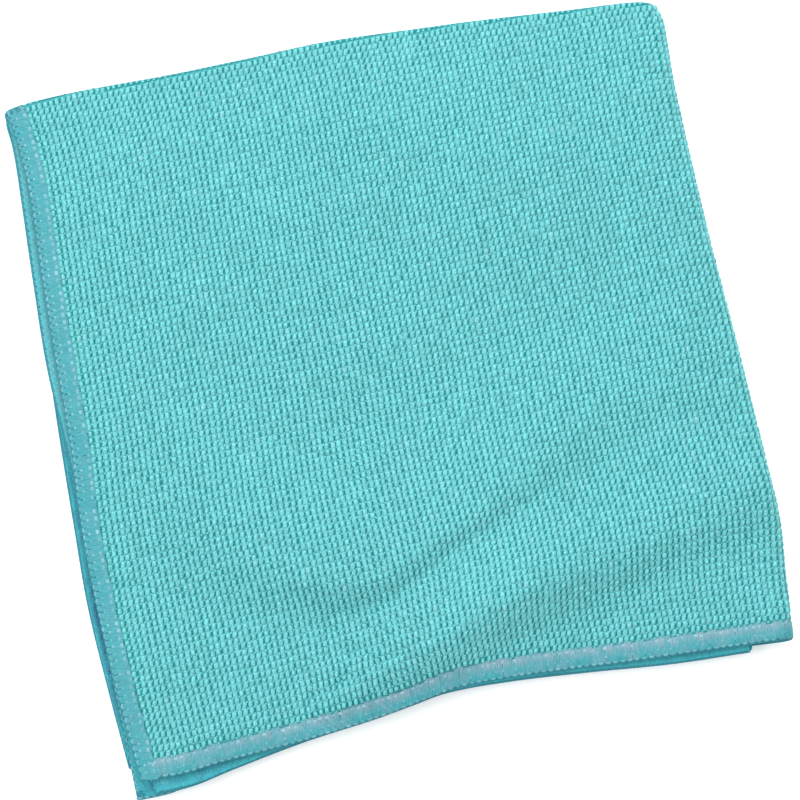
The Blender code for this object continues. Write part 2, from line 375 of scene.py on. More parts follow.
def layer_height(layer, x, y, lift):
    """Height of the middle of a layer over the surface that the cloth lies on."""
    rank = LAYERS.index(layer)
    waves = sum(
        wave.height * np.sin(math.tau * (x / wave.length_x + y / wave.length_y) + wave.start)
        for wave in GAP_WAVES if LAYERS.index(wave.layer) <= rank)
    return SOLID_THICKNESS / 2.0 + LAYER_PITCH * rank + lift * LIFT_SHARE[layer] + waves


# A way runs 0 to 1 from a cut edge to the fold, 1 to 2 round the rim, and 2 to 3 back
WAY_END = 3.0
WAY_STEP = 0.002


def fold_station(way):
    """Share along a layer, how far out on the rim, and how far past the fold, for a way."""
    turn = np.clip(way - 1.0, 0.0, 1.0)
    share = np.where(way <= 1.0, way, np.where(way >= 2.0, WAY_END - way, 1.0))
    return share, np.sin(math.pi * turn), (1.0 - np.cos(math.pi * turn)) / 2.0


def knit_middle(across_way, up_way):
    """Points of the sheet's middle, in metres, from the ways across and up the whole square."""
    share_across, round_side, past_side = fold_station(np.ravel(across_way))
    share_up, round_top, past_top = fold_station(np.ravel(up_way))
    rim_share = blend(OUTER_RIM_DEPTH, INNER_RIM_DEPTH, past_top) / SHEET_WIDTH
    across = share_across * (1.0 - rim_share) + rim_share * round_side
    top_share = TOP_RIM_DEPTH / SHEET_HEIGHT
    down = 1.0 - share_up * (1.0 - top_share) - top_share * round_top
    weights = {
        "first": (1.0 - past_side) * (1.0 - past_top),
        "second": (1.0 - past_side) * past_top,
        "third": past_side * past_top,
        "fourth": past_side * (1.0 - past_top),
    }
    points = np.zeros((len(across), 3))
    for layer, weight in weights.items():
        used = weight > 0.0
        x, y = layer_place(layer, across[used], down[used])
        z = layer_height(layer, x, y, lift_at(x, y))
        points[used] += weight[used, None] * np.column_stack([x, y, z])
    return points * MM


def knit_axes(across_way, up_way):
    """The middle of the sheet, with the directions of its row and of its outer face there."""
    middle = knit_middle(across_way, up_way)
    row = (knit_middle(np.minimum(across_way + WAY_STEP, WAY_END), up_way)
           - knit_middle(np.maximum(across_way - WAY_STEP, 0.0), up_way))
    column = (knit_middle(across_way, np.minimum(up_way + WAY_STEP, WAY_END))
              - knit_middle(across_way, np.maximum(up_way - WAY_STEP, 0.0)))
    facing = np.cross(row, column)
    row /= np.linalg.norm(row, axis=1)[:, None]
    facing /= np.linalg.norm(facing, axis=1)[:, None]
    return middle, row, facing


def lengths_along(points):
    """Real lengths along lines of points, in millimetres from the start of each."""
    steps = np.linalg.norm(np.diff(points, axis=-2), axis=-1) / MM
    start = np.zeros(steps.shape[:-1] + (1,))
    return np.concatenate([start, np.cumsum(steps, axis=-1)], axis=-1)


# Real lengths over the knit, in millimetres from its hems, so that the stitches keep their size
# over the ridges and folds. Rows follow the hem beside it and straighten out above it.
WAYS = np.concatenate([
    np.linspace(0.0, 1.0, 130), np.linspace(1.0, 2.0, 17)[1:], np.linspace(2.0, WAY_END, 70)[1:]])
ROWS_STRAIGHT_ABOVE = 60.0
ROWS_STRAIGHTENED = 0.75
ROWS_DRAWN_BY_TOP = 0.5
ROW_SLANT = math.radians(0.8)
FIT_ROUNDS = 6


def stitch_fields():
    """How far along its row and how far up its column the knit is, over a grid of ways."""
    across, up = np.meshgrid(WAYS, WAYS, indexing="ij")
    points = knit_middle(across, up).reshape(across.shape + (3,))
    along_row = lengths_along(points.transpose(1, 0, 2)).T
    along_row *= along_row[-1].mean() / along_row[-1]
    along_column = lengths_along(points)
    share = fold_station(WAYS)[0]
    hem_rise = -read_edge(BOTTOM_EDGE, share, "bow")[:, None]
    top_rise = read_edge(TOP_EDGE, share, "bow")[:, None]
    settled = 1.0 - np.exp(-(along_column / ROWS_STRAIGHT_ABOVE) ** 2)
    near_top = np.exp(-((SHEET_HEIGHT - along_column) / ROWS_STRAIGHT_ABOVE) ** 2)
    slant = (along_row - along_row[-1].mean() / 4.0) * math.tan(ROW_SLANT)
    along_column = along_column + settled * (ROWS_STRAIGHTENED * hem_rise - slant)
    return along_row, along_column - ROWS_DRAWN_BY_TOP * near_top * top_rise


ALONG_ROW, ALONG_COLUMN = stitch_fields()


def field_at(field, across_way, up_way):
    """A field between the grid's ways, from the four grid points around each place."""
    column, row = (np.clip(np.interp(way, WAYS, np.arange(len(WAYS))), 0.0, len(WAYS) - 1.001)
                   for way in (across_way, up_way))
    left, low = column.astype(int), row.astype(int)
    part, rise = column - left, row - low
    return (field[left, low] * (1 - part) * (1 - rise)
            + field[left + 1, low] * part * (1 - rise)
            + field[left, low + 1] * (1 - part) * rise
            + field[left + 1, low + 1] * part * rise)


def ways_of(along_row, along_column):
    """The ways at which the knit is so far along its row and its column."""
    middle_row = ALONG_ROW.mean(axis=1)
    middle_column = ALONG_COLUMN.mean(axis=0)
    across_way = np.interp(along_row, middle_row, WAYS)
    up_way = np.interp(along_column, middle_column, WAYS)
    for _ in range(FIT_ROUNDS):
        missing_row = along_row - field_at(ALONG_ROW, across_way, up_way)
        missing_column = along_column - field_at(ALONG_COLUMN, across_way, up_way)
        moved_row = np.interp(across_way, WAYS, middle_row) + missing_row
        moved_column = np.interp(up_way, WAYS, middle_column) + missing_column
        across_way = np.interp(moved_row, middle_row, WAYS)
        up_way = np.interp(moved_column, middle_column, WAYS)
    return across_way, up_way


def way_lines(cells_before, cells_rim, cells_after, size):
    """Grid lines from one cut edge over the fold to the other, with their own at the hem."""
    hem = np.array([0.0, HEM_WIDTH / 2.0, HEM_WIDTH, HEM_WIDTH + HEM_STEP]) / size
    before = np.concatenate([hem, np.linspace(hem[-1], 1.0, cells_before + 1)[1:]])
    after = np.concatenate([hem, np.linspace(hem[-1], 1.0, cells_after + 1)[1:]])[::-1]
    rim = np.linspace(1.0, 2.0, cells_rim + 1)[1:-1]
    return np.concatenate([before, rim, WAY_END - after])


def figure(operation, *values):
    """A sum on numbers and other nodes' outputs, in the tree of those."""
    tree = next(value.id_data for value in values if hasattr(value, "id_data"))
    return add_node(tree, "ShaderNodeMath", dict(enumerate(values)), operation=operation)


def product(result, *others):
    for other in others:
        result = figure("MULTIPLY", result, other)
    return result


def wave_of(value, turns):
    """A cosine with so many turns for each 1 of the value."""
    return figure("COSINE", product(value, turns * math.tau))


def remap(value, low, high, start=0.0, end=1.0, **settings):
    """The value's share of the way from low to high, held there, as a number from start to end."""
    return add_node(value.id_data, "ShaderNodeMapRange", {
        "Value": value, "From Min": low, "From Max": high, "To Min": start, "To Max": end},
        **settings)


def mix(share, first, second):
    return add_node(share.id_data, "ShaderNodeMix", {
        "Factor": share, "A": first, "B": second}, data_type="RGBA").outputs["Result"]


def toned(colour, value):
    """A colour made lighter or darker by a factor."""
    return add_node(value.id_data, "ShaderNodeHueSaturation", {"Value": value, "Color": colour})


def separate(vector):
    return add_node(vector.id_data, "ShaderNodeSeparateXYZ", {0: vector}).outputs


def read_attribute(tree, name, output="Fac"):
    return add_node(tree, "ShaderNodeAttribute", attribute_name=name).outputs[output]


def object_place(tree):
    return add_node(tree, "ShaderNodeTexCoord").outputs["Object"]


def new_group(kind, name, inputs, outputs):
    """A node group with sockets of the named kinds, and the outputs of its inputs."""
    group = bpy.data.node_groups.new(name, kind)
    for way, sockets in (("INPUT", inputs), ("OUTPUT", outputs)):
        for socket, sort in sockets.items():
            group.interface.new_socket(name=socket, in_out=way, socket_type=f"NodeSocket{sort}")
    return group, group.nodes.new("NodeGroupInput").outputs


def yarn_fibres():
    """A shader group for every yarn: the height of its fine fibres, and how its value wanders."""
    group, given = new_group(
        "ShaderNodeTree", "yarn_fibres",
        {"Place": "Vector", "Fineness": "Float", "Fluff": "Float", "Mottle": "Float"},
        {"Height": "Float", "Value": "Float"})

    def noise(scale):
        return add_node(group, "ShaderNodeTexNoise", {
            "Vector": given["Place"], "Scale": scale, "Detail": 3.0})

    def around_zero(value, amount):
        return product(figure("SUBTRACT", value, 0.5), amount)

    fibres = noise(given["Fineness"])
    value = figure("ADD", around_zero(fibres, given["Fluff"]),
                   around_zero(noise(PATCH_FINENESS), given["Mottle"]))
    add_node(group, "NodeGroupOutput", {"Height": fibres, "Value": figure("ADD", value, 1.0)})
    return group


FIBRES = yarn_fibres()


def finish_yarn(tree, shader, colour, bump_height, **looks):
    """Lay fibres of a fineness, fluff and mottle over a yarn's colour, and feed its shader."""
    fibres = add_node(tree, "ShaderNodeGroup", {
        "Place": object_place(tree), **{look.title(): value for look, value in looks.items()}},
        node_tree=FIBRES).outputs
    tree.links.new(toned(colour, fibres["Value"]).outputs[0], shader.inputs["Base Color"])
    bump = add_node(tree, "ShaderNodeBump", {
        "Strength": BUMP_STRENGTH, "Distance": bump_height, "Height": fibres["Height"]})
    tree.links.new(bump.outputs[0], shader.inputs["Normal"])


def knit_ground_material():
    material, tree, shader = new_material(
        "knit_ground", Roughness=0.95, Sheen_Weight=0.1, Sheen_Roughness=0.6,
        Specular_IOR_Level=0.2)
    stitches = add_node(tree, "ShaderNodeUVMap", uv_map="stitches").outputs["UV"]
    # Painted shade: the ground is darkest between the pearls, in the slits half-way up each row,
    # and lighter where the rows meet
    ground = mix(remap(wave_of(separate(stitches)["Y"], 1.0), 0.2, 0.9), SLIT_SHADE_TEAL, GROUND_TEAL)
    colour = mix(read_attribute(tree, "hem_band"), ground, HEM_GROUND)
    finish_yarn(tree, shader, colour, fineness=2600.0, fluff=0.4, mottle=0.1, bump_height=0.0002)
    return material


def fit_to_cloth(piece):
    """The piece moves with the cloth's one body."""
    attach(piece, "root")
    return piece


def plain_mesh(maker, name):
    """The maker's evaluated result as a plain mesh object, and the maker is removed."""
    graph = bpy.context.evaluated_depsgraph_get()
    mesh = bpy.data.meshes.new_from_object(
        maker.evaluated_get(graph), preserve_all_data_layers=True, depsgraph=graph)
    mesh.name = name
    bpy.data.objects.remove(maker)
    return link_object(name, mesh)


def carry(mesh, name, values):
    """The mesh's points carry a named number or vector each."""
    kind, slot = ("FLOAT_VECTOR", "vector") if values.ndim == 2 else ("FLOAT", "value")
    carried = mesh.attributes.new(name, kind, "POINT")
    carried.data.foreach_set(slot, values.astype(np.float32).ravel())


def hem_distance(across_way, up_way):
    """How far places lie from the nearest cut edge of their layer."""
    return np.minimum(fold_station(across_way)[0] * SHEET_WIDTH,
                      fold_station(up_way)[0] * SHEET_HEIGHT)


def knit_sheet():
    across_lines = way_lines(UPPER_CELLS_ACROSS, OUTER_RIM_CELLS, LOWER_CELLS_ACROSS, SHEET_WIDTH)
    up_lines = way_lines(OUTER_CELLS_UP, TOP_RIM_CELLS, INNER_CELLS_UP, SHEET_HEIGHT)
    across, up = np.meshgrid(across_lines, up_lines)
    points = knit_middle(across, up)
    width = len(across_lines)
    corner = np.add.outer(np.arange(len(up_lines) - 1) * width, np.arange(width - 1)).ravel()
    faces = np.column_stack([corner, corner + 1, corner + width + 1, corner + width])
    mesh = mesh_of("knit_sheet", points.tolist(), faces=faces.tolist())
    mesh.shade_smooth()

    # Stitches counted from the hems, as a UV map of the ground
    across, up = across.ravel(), up.ravel()
    stitches = np.column_stack([
        field_at(ALONG_ROW, across, up) / STITCH_WIDTH,
        field_at(ALONG_COLUMN, across, up) / STITCH_HEIGHT])
    loops = np.empty(len(mesh.loops), int)
    mesh.loops.foreach_get("vertex_index", loops)
    uv = mesh.uv_layers.new(name="stitches")
    uv.data.foreach_set("uv", stitches[loops].astype(np.float32).ravel())

    # The hem is thinner, up to its own grid line
    from_edge = hem_distance(across, up)
    in_hem = from_edge <= HEM_WIDTH + HAIR
    carry(mesh, "hem_band", from_edge < HEM_WIDTH - HAIR)
    sheet = link_object("knit_sheet", mesh)
    fabric = sheet.vertex_groups.new(name="fabric")
    fabric.add(np.flatnonzero(in_hem).tolist(), HEM_THICKNESS_SHARE, "REPLACE")
    fabric.add(np.flatnonzero(~in_hem).tolist(), 1.0, "REPLACE")
    thickness = sheet.modifiers.new("thickness", "SOLIDIFY")
    thickness.thickness = KNIT_THICKNESS * MM
    thickness.offset = 0.0
    thickness.use_even_offset = True
    thickness.vertex_group = fabric.name
    return sheet


knit = fit_to_cloth(plain_mesh(knit_sheet(), "knit"))
knit.data.materials.append(knit_ground_material())
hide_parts("cloth")


# ---- The pearls ----
# Each stitch of the knit stands up from its ground as a fluffy oval of split microfibre, and a
# short bridge of the same yarn ties four of them together. No two are quite alike, and those
# under the cloth are pressed flat by its weight.

PEARL_SINK = 0.1  # how deep a pearl is set in the ground
PEARL_SHIFT = 0.07  # how far a pearl strays from its place in the row
PEARL_UNEVENNESS = 0.11
PEARL_LEAN = math.radians(-12.0)
LEAN_SPREAD = 0.14
END_LIGHT = 0.36  # how light the ends of a pearl stay in its painted shade
KNIT_START = HEM_WIDTH + 0.1
PINCHED_TO = HEM_WIDTH + 3.2  # where the needle's stitches still draw the pearls together
PINCHED_FULLNESS = 0.5
TOP_FOLD_WAYS = (0.985, 1.1, 1.9, 2.0)
TOP_FOLD_FULLNESS = (1.0, 0.2, 0.2, 1.0)
PEARLS_END = 2.02  # of the way up: just past the fold at the top
PRESSED_FROM = 1.55  # of the way across: where the fold at the right turns under
PEARL_TEAL = (0.123, 0.435, 0.45, 1.0)
PEARL_SHADE = (0.015, 0.245, 0.265, 1.0)
PEARL_LILAC = (0.25, 0.4, 0.46, 1.0)

PearlSizes = namedtuple("PearlSizes", "width length height squareness lean segments rings")
PEARL = PearlSizes(1.56, 2.4, 0.56, 0.36, PEARL_LEAN, 8, 6)
PRESSED_PEARL = PearlSizes(1.7, 2.1, 0.28, 0.42, PEARL_LEAN, 5, 4)
BRIDGE = PearlSizes(1.2, 1.2, 0.3, 0.0, 0.0, 6, 2)

# Where each piece's stitches lie, in real lengths along the rows and up the columns. Pearls
# stand in the middle of their stitch (a shift of 0.5) and bridges at its corner.
SIDE_FOLD, ROW_END = np.interp((PRESSED_FROM, WAY_END), WAYS, ALONG_ROW.mean(axis=1)).tolist()
PEARL_PIECES = table("name sizes row_from row_to column_from column_to shift seed", (
    ("pearls_1", PEARL, 0.0, SIDE_FOLD, 0.0, 72.0, 0.5, 1),
    ("pearls_2", PEARL, 0.0, SIDE_FOLD, 72.0, 140.0, 0.5, 2),
    ("pearls_3", PEARL, 0.0, SIDE_FOLD, 140.0, 220.0, 0.5, 3),
    ("bridges", BRIDGE, 0.0, SIDE_FOLD, 0.0, 220.0, 0.0, 4),
    ("pressed_pearls_1", PRESSED_PEARL, SIDE_FOLD, ROW_END, 0.0, 105.0, 0.5, 5),
    ("pressed_pearls_2", PRESSED_PEARL, SIDE_FOLD, ROW_END, 105.0, 220.0, 0.5, 6),
))


def new_tree(name, floats, integers=""):
    """A geometry tree that takes a guide, sizes by their names, a seed and a finish."""
    return new_group(
        "GeometryNodeTree", name,
        {"Geometry": "Geometry", **dict.fromkeys(floats.split(), "Float"),
         **dict.fromkeys(integers.split(), "Int"), "Seed": "Int", "Finish": "Material"},
        {"Geometry": "Geometry"})


def grow(guide, tree, name, **sizes):
    """Run a geometry tree on a guide with the sizes that it names, and keep the plain mesh.

    What would reach below the table is pressed flat on it."""
    modifier = guide.modifiers.new(tree.name, "NODES")
    modifier.node_group = tree
    for item in tree.interface.items_tree:
        if item.in_out == "INPUT" and item.name.lower() in sizes:
            modifier[item.identifier] = sizes[item.name.lower()]
    piece = plain_mesh(guide, name)
    points = np.empty(3 * len(piece.data.vertices), np.float32)
    piece.data.vertices.foreach_get("co", points)
    points[2::3] = np.maximum(points[2::3], 0.0)
    piece.data.vertices.foreach_set("co", points)
    return fit_to_cloth(piece)


def guide_points(name, places, line_counts=(), **attributes):
    """A mesh of points, loose or in lines of so many, that carry named vectors or numbers."""
    ends = np.cumsum(line_counts)
    mesh = mesh_of(name, places.tolist(), [
        (i, i + 1) for start, end in zip(ends - line_counts, ends) for i in range(start, end - 1)])
    for key, values in attributes.items():
        carry(mesh, key, values)
    return link_object(name, mesh)


def named_attribute(tree, name, kind="FLOAT"):
    return add_node(tree, "GeometryNodeInputNamedAttribute", {
        "Name": name}, data_type=kind).outputs["Attribute"]


def keep_attribute(geometry, name, value, domain="POINT", kind="FLOAT"):
    return add_node(geometry.id_data, "GeometryNodeStoreNamedAttribute", {
        "Geometry": geometry, "Name": name, "Value": value}, data_type=kind, domain=domain)


def vector(tree, x, y, z=0.0):
    return add_node(tree, "ShaderNodeCombineXYZ", {"X": x, "Y": y, "Z": z})


def vector_figure(operation, first, second):
    return add_node(first.id_data, "ShaderNodeVectorMath", {
        0: first, 1: second}, operation=operation)


def moved(geometry, **how):
    """The geometry with its points at a Position, or shifted by an Offset."""
    return add_node(geometry.id_data, "GeometryNodeSetPosition", {"Geometry": geometry, **how})


def one_off(given, step, low=-1.0):
    """A random number of its own for each stitch. Each use has its own step from the seed."""
    seed = figure("ADD", given["Seed"], step)
    return add_node(seed.id_data, "FunctionNodeRandomValue", {
        2: low, 3: 1.0, "Seed": seed}, data_type="FLOAT").outputs[1]


def around(given, step, spread, middle=1.0):
    """A number of its own for each stitch, within a spread of the middle."""
    return figure("MULTIPLY_ADD", one_off(given, step), spread, middle)


def half_ball(tree, segments, rings):
    """The upper half of a ball of radius 1, on its flat open side, and where its points are."""
    ball = add_node(tree, "GeometryNodeMeshUVSphere", {
        "Segments": segments, "Rings": rings, "Radius": 1.0})
    place = add_node(tree, "GeometryNodeInputPosition")
    below = add_node(tree, "FunctionNodeCompare", {
        "A": separate(place)["Z"], "B": -0.01}, operation="LESS_THAN")
    dome = add_node(tree, "GeometryNodeDeleteGeometry", {"Geometry": ball, "Selection": below})
    return dome, place


def turned(tree, axes, *tip):
    """A rotation that lays a stitch's axes along its point's named directions, then tips it."""
    (first, first_way), (second, second_way) = axes.items()
    upright = add_node(tree, "FunctionNodeAxesToRotation", {
        "Primary Axis": named_attribute(tree, first_way, "FLOAT_VECTOR"),
        "Secondary Axis": named_attribute(tree, second_way, "FLOAT_VECTOR")},
        primary_axis=first, secondary_axis=second)
    tipped = add_node(tree, "FunctionNodeEulerToRotation", {"Euler": vector(tree, *tip)})
    return add_node(tree, "FunctionNodeRotateRotation", {
        "Rotation": upright, "Rotate By": tipped}, rotation_space="LOCAL")


def stitched(given, points, stitch, rotation, size, **chosen):
    """A real stitch at each chosen point, with a tint of its own."""
    tree = points.id_data
    stitches = add_node(tree, "GeometryNodeInstanceOnPoints", {
        "Points": points, "Instance": stitch, "Rotation": rotation, "Scale": size, **chosen})
    tinted = keep_attribute(stitches, "tint", one_off(given, 7, 0.0), "INSTANCE")
    return add_node(tree, "GeometryNodeRealizeInstances", {0: tinted})


def finish_tree(tree, given, geometry):
    """Round the shading of the stitches, set their material, and hand them out."""
    smooth = add_node(tree, "GeometryNodeSetShadeSmooth", {0: geometry})
    finished = add_node(tree, "GeometryNodeSetMaterial", {0: smooth, "Material": given["Finish"]})
    add_node(tree, "NodeGroupOutput", {0: finished})
    return tree


def pearl_tree():
    tree, given = new_tree(
        "pearl_face", "Width Length Height Squareness Lean Unevenness", "Segments Rings")
    dome, place = half_ball(tree, given["Segments"], given["Rings"])
    parts = separate(place)
    # Square the oval off, so that neighbours leave only a slit between them
    corner = figure("ABSOLUTE", product(parts["X"], parts["Y"]))
    squared = figure("MULTIPLY_ADD", corner, given["Squareness"], 1.0)
    shaped = vector_figure("MULTIPLY", place, vector(tree, squared, squared, 1.0))
    # Painted shade: a pearl is painted darker low on its sides, in the slits between it and its
    # neighbours, while its ends run into the pearls beyond them and stay light
    lightness = figure("MULTIPLY_ADD", figure("ABSOLUTE", parts["Y"]), END_LIGHT, parts["Z"])
    pearl = moved(keep_attribute(dome, "crown_shading", lightness), Position=shaped)

    def sized(size, step, share):
        return product(around(given, step, given["Unevenness"]), given[size], share)

    # A pearl that isn't full is low, short and a little narrow
    fullness = named_attribute(tree, "fullness")
    size = vector(
        tree, sized("Width", 1, figure("MULTIPLY_ADD", fullness, 0.2, 0.3)),
        sized("Length", 2, figure("MULTIPLY_ADD", fullness, 0.25, 0.25)),
        sized("Height", 3, fullness))
    uneven = given["Unevenness"]
    rotation = turned(
        tree, {"Z": "facing", "X": "rowwise"}, product(one_off(given, 5), uneven),
        product(one_off(given, 6), uneven), around(given, 4, LEAN_SPREAD, given["Lean"]))
    return finish_tree(tree, given, stitched(given, given["Geometry"], pearl, rotation, size))


def pearl_material():
    material, tree, shader = new_material(
        "split_microfibre", Roughness=0.85, Sheen_Weight=0.18, Sheen_Roughness=0.5,
        Specular_IOR_Level=0.2)
    tint = read_attribute(tree, "tint")
    # Painted shade: each pearl goes from PEARL_SHADE low on its sides, where the slits are, to
    # PEARL_TEAL on its top and ends
    colour = mix(remap(read_attribute(tree, "crown_shading"), 0.0, 0.95), PEARL_SHADE, PEARL_TEAL)
    # One pearl in twenty-five is tinged with lilac, and each has a tone of its own
    colour = mix(remap(tint, 0.96, 1.0, end=0.2), colour, PEARL_LILAC)
    colour = toned(colour, remap(tint, 0.0, 1.0, 0.95, 1.05))
    finish_yarn(tree, shader, colour, fineness=1700.0, fluff=1.5, mottle=0.12, bump_height=0.00025)
    return material


def stitch_steps(start, end, size, shift):
    return (np.arange(math.ceil(start / size - shift), math.floor(end / size - shift) + 1)
            + shift) * size


def stitch_places(piece):
    """Ways of a piece's stitches, and how full each one is."""
    along_row, along_column = np.meshgrid(
        stitch_steps(piece.row_from, piece.row_to, STITCH_WIDTH, piece.shift),
        stitch_steps(piece.column_from, piece.column_to, STITCH_HEIGHT, piece.shift))
    chance = np.random.default_rng(round(piece.row_from + piece.column_from))
    stray = chance.normal(0.0, PEARL_SHIFT, (2, along_row.size))
    across_way, up_way = ways_of(along_row.ravel() + stray[0], along_column.ravel() + stray[1])
    from_hem = hem_distance(across_way, up_way)
    clear = (from_hem > KNIT_START) & (up_way < PEARLS_END)
    across_way, up_way = across_way[clear], up_way[clear]
    # Pearls are flatter beside the hem and where the knit is drawn round the fold at the top
    fullness = (np.interp(from_hem[clear], (KNIT_START, PINCHED_TO), (PINCHED_FULLNESS, 1.0))
                * np.interp(up_way, TOP_FOLD_WAYS, TOP_FOLD_FULLNESS))
    return across_way, up_way, fullness


def grow_pearls(piece):
    across_way, up_way, fullness = stitch_places(piece)
    middle, rowwise, facing = knit_axes(across_way, up_way)
    stand = (KNIT_THICKNESS / 2.0 - PEARL_SINK) * MM
    guide = guide_points(f"{piece.name}_places", middle + facing * stand, facing=facing,
                         rowwise=rowwise, fullness=fullness)
    sizes = piece.sizes._asdict()
    sizes.update({size: sizes[size] * MM for size in ("width", "length", "height")})
    return grow(guide, pearl_face, unevenness=PEARL_UNEVENNESS, finish=microfibre,
                **piece._asdict(), **sizes)


pearl_face, microfibre = pearl_tree(), pearl_material()
pearls = [grow_pearls(piece) for piece in PEARL_PIECES]


# ---- The overlocked hem ----
# All four cut edges are trimmed and sewn over with fluffy polyester thread. Satin threads lie
# side by side across the hem, a chain of loops binds its edge, and a row of needle stitches
# holds it on the inside.

STITCH_PITCH = 2.15
STITCH_UNEVENNESS = 0.05
LENGTH_SPREAD = 0.06
HEIGHT_SPREAD = 0.2
GUIDE_POINTS = 420  # of a guide line, for each 1 of its way
COVER_START = 0.6  # where the satin threads come out from under the chain
COVER_END = 5.7
THREADS = 3  # satin threads in one stitch
THREAD_VERTICES = 7  # of a stitch's grid, along the hem and across it
THREAD_HEIGHT = 0.22
THREAD_CLEARANCE = 0.14  # over the knit, which is not quite straight under a thread
THREAD_SLANT = 0.14  # of the pitch, from the edge inwards
THREAD_CROWDING = 1.6  # shorter faces at the cut edge
THREAD_SHOULDER = 0.35  # how steeply the threads rise at their ends
FANNING = (0.14, 0.32)  # shares of the way inwards between which the threads fan out
FANNED_WIDTH = 1.12  # of the pitch, so that stitches overlap a little
CHAIN_THREAD = 0.42  # radius
CHAIN_BULGE = 0.3  # how far each loop of the chain bows out
CHAIN_RISE = 0.5  # and up, so that it looks like a row of beads
CHAIN_STAND = 0.24
CHAIN_UNEVENNESS = 0.08
CHAIN_PALENESS = 0.4
HEM_STAND = KNIT_THICKNESS * HEM_THICKNESS_SHARE / 2.0
SATIN_BLUE = (0.038, 0.275, 0.315, 1.0)
SATIN_LILAC = (0.17, 0.29, 0.35, 1.0)
# Painted light: a lighter satin blue for the second layer's strip at the left, which lies in the
# top layer's shade
LIT_SATIN_BLUE = (0.066, 0.36, 0.405, 1.0)
LOWER_LIT_TEAL = (0.038, 0.37, 0.42, 1.0)  # a lighter, more saturated copy of the satin blue: painted light on the lower layers' hems, in the shade of the layers above
# Painted shade on the lower hems, inwards, where the layers above shade them
LOWER_SHADE_NAVY = (0.026, 0.15, 0.27, 1.0)
DASH_WHITE = (0.25, 0.44, 0.5, 1.0)
LILAC_FINENESS = 260.0
STREAK_FINENESS = (8.0, 3.0, 1.0)
STREAK_VARIETY = 40.0

# Short pale stitches that lie along the hem: the needle's, and those between bundles of threads
Dash = namedtuple("Dash", "inset length width height")
NEEDLE_DASH = Dash(4.7, 1.6, 1.2, 0.16)
BUNDLE_DASH = Dash(2.2, 1.1, 0.85, 0.21)
DASH_LIFT = 0.08

# One loop of the chain: shares of its pitch, millimetres inwards, shares of its bulge and rise
CHAIN_BOW = table("name along inward out up", (
    ("Start", -0.42, 0.85, 0.0, -0.8),
    ("Middle", 0.0, 0.45, 1.0, 1.0),
    ("End", 0.42, 0.85, 0.0, -0.8),
))

# The faces of the hem that can be seen. A run goes along a cut edge, held at one way across or
# up. It shows the outer face of the knit (1) or the inner one (-1), has more or less of its
# second colour, and closer stitches round a tight fold.
RUN_COLUMNS = "held at start end face second_colour pitch_share"
CORNER = 0.5 * COVER_END / SHEET_HEIGHT
BEFORE_END = WAY_END - CORNER
LEFT_RUNS = table(RUN_COLUMNS, (
    ("across", 0.0, 0.0, 1.0, 1.0, 0.2, 1.0),
    ("across", 0.0, 1.0, 2.0, 1.0, 0.2, 0.2),
))
SECOND_LEFT_RUNS = table(RUN_COLUMNS, [("across", 0.0, 2.0, BEFORE_END, -1.0, 0.15, 1.0)])
BOTTOM_RUNS = table(RUN_COLUMNS, (
    ("up", 0.0, 1.4 * CORNER, 1.0, 1.0, 1.0, 0.9),
    ("up", 0.0, 1.0, 2.0, 1.0, 0.8, 0.5),
))
# On these lower hems the second colour is painted shade from the layers above
LOWER_RUNS = table(RUN_COLUMNS, (
    ("across", 3.0, CORNER, 1.0, 1.0, 0.05, 1.0),
    ("across", 3.0, 1.0, 2.0, 1.0, 0.05, 0.4),
    ("across", 3.0, 2.0, BEFORE_END, 1.0, 0.05, 1.0),
    ("across", 3.0, CORNER, 1.0, -1.0, 1.0, 1.0),
    ("up", 0.0, 2.0, BEFORE_END, 1.0, 0.05, 0.9),
    ("up", 0.0, 2.9, BEFORE_END, -1.0, 1.0, 0.9),
    ("up", 3.0, 0.0, 1.0, -1.0, 0.4, 0.9),
    ("up", 3.0, 1.0, 2.0, -1.0, 0.1, 0.4),
    ("up", 3.0, 2.0, BEFORE_END, 1.0, 0.6, 0.9),
))
HALF_STITCH = 0.5 * STITCH_PITCH / SHEET_HEIGHT
CHAIN_RUNS = table(RUN_COLUMNS, (
    (held, at, max(part, HALF_STITCH), min(part + 1.0, WAY_END - HALF_STITCH), 1.0, 0.2, pitch)
    for held in ("across", "up") for at in (0.0, 3.0)
    for part, pitch in ((0.0, 1.0), (1.0, 0.4), (2.0, 1.0))))


def hem_line(run, stand):
    """Points along a run, with the directions and the bend that a stitch on it needs.

    They go the way that has the cloth on its left, seen from the face that they lie on."""
    ways = np.linspace(run.start, run.end, round(GUIDE_POINTS * (run.end - run.start)) + 1)
    if ((run.held == "up") + (run.at == 0.0) + (run.face == 1.0)) % 2 == 0:
        ways = ways[::-1]
    size = SHEET_WIDTH if run.held == "across" else SHEET_HEIGHT

    def held_at(depth):
        held = np.full_like(ways, abs(run.at - depth / size))
        return (held, ways) if run.held == "across" else (ways, held)

    edge, _, facing = knit_axes(*held_at(0.0))
    facing = facing * run.face
    inner = knit_middle(*held_at(COVER_END))
    between = knit_middle(*held_at(COVER_END / 2.0))
    inward = inner - edge
    inward /= np.linalg.norm(inward, axis=1)[:, None]
    return {"places": edge + facing * stand * MM, "facing": facing, "inward": inward,
            "bend": np.einsum("ij,ij->i", between - (edge + inner) / 2.0, facing),
            "second_colour": np.full(len(ways), run.second_colour),
            "pitch": np.full(len(ways), STITCH_PITCH * MM * run.pitch_share)}


def hem_guide(name, runs, stand):
    """All the runs as lines of one guide."""
    lines = [hem_line(run, stand) for run in runs]
    joined = {key: np.concatenate([line[key] for line in lines]) for key in lines[0]}
    return guide_points(name, joined.pop("places"), [len(line["bend"]) for line in lines], **joined)


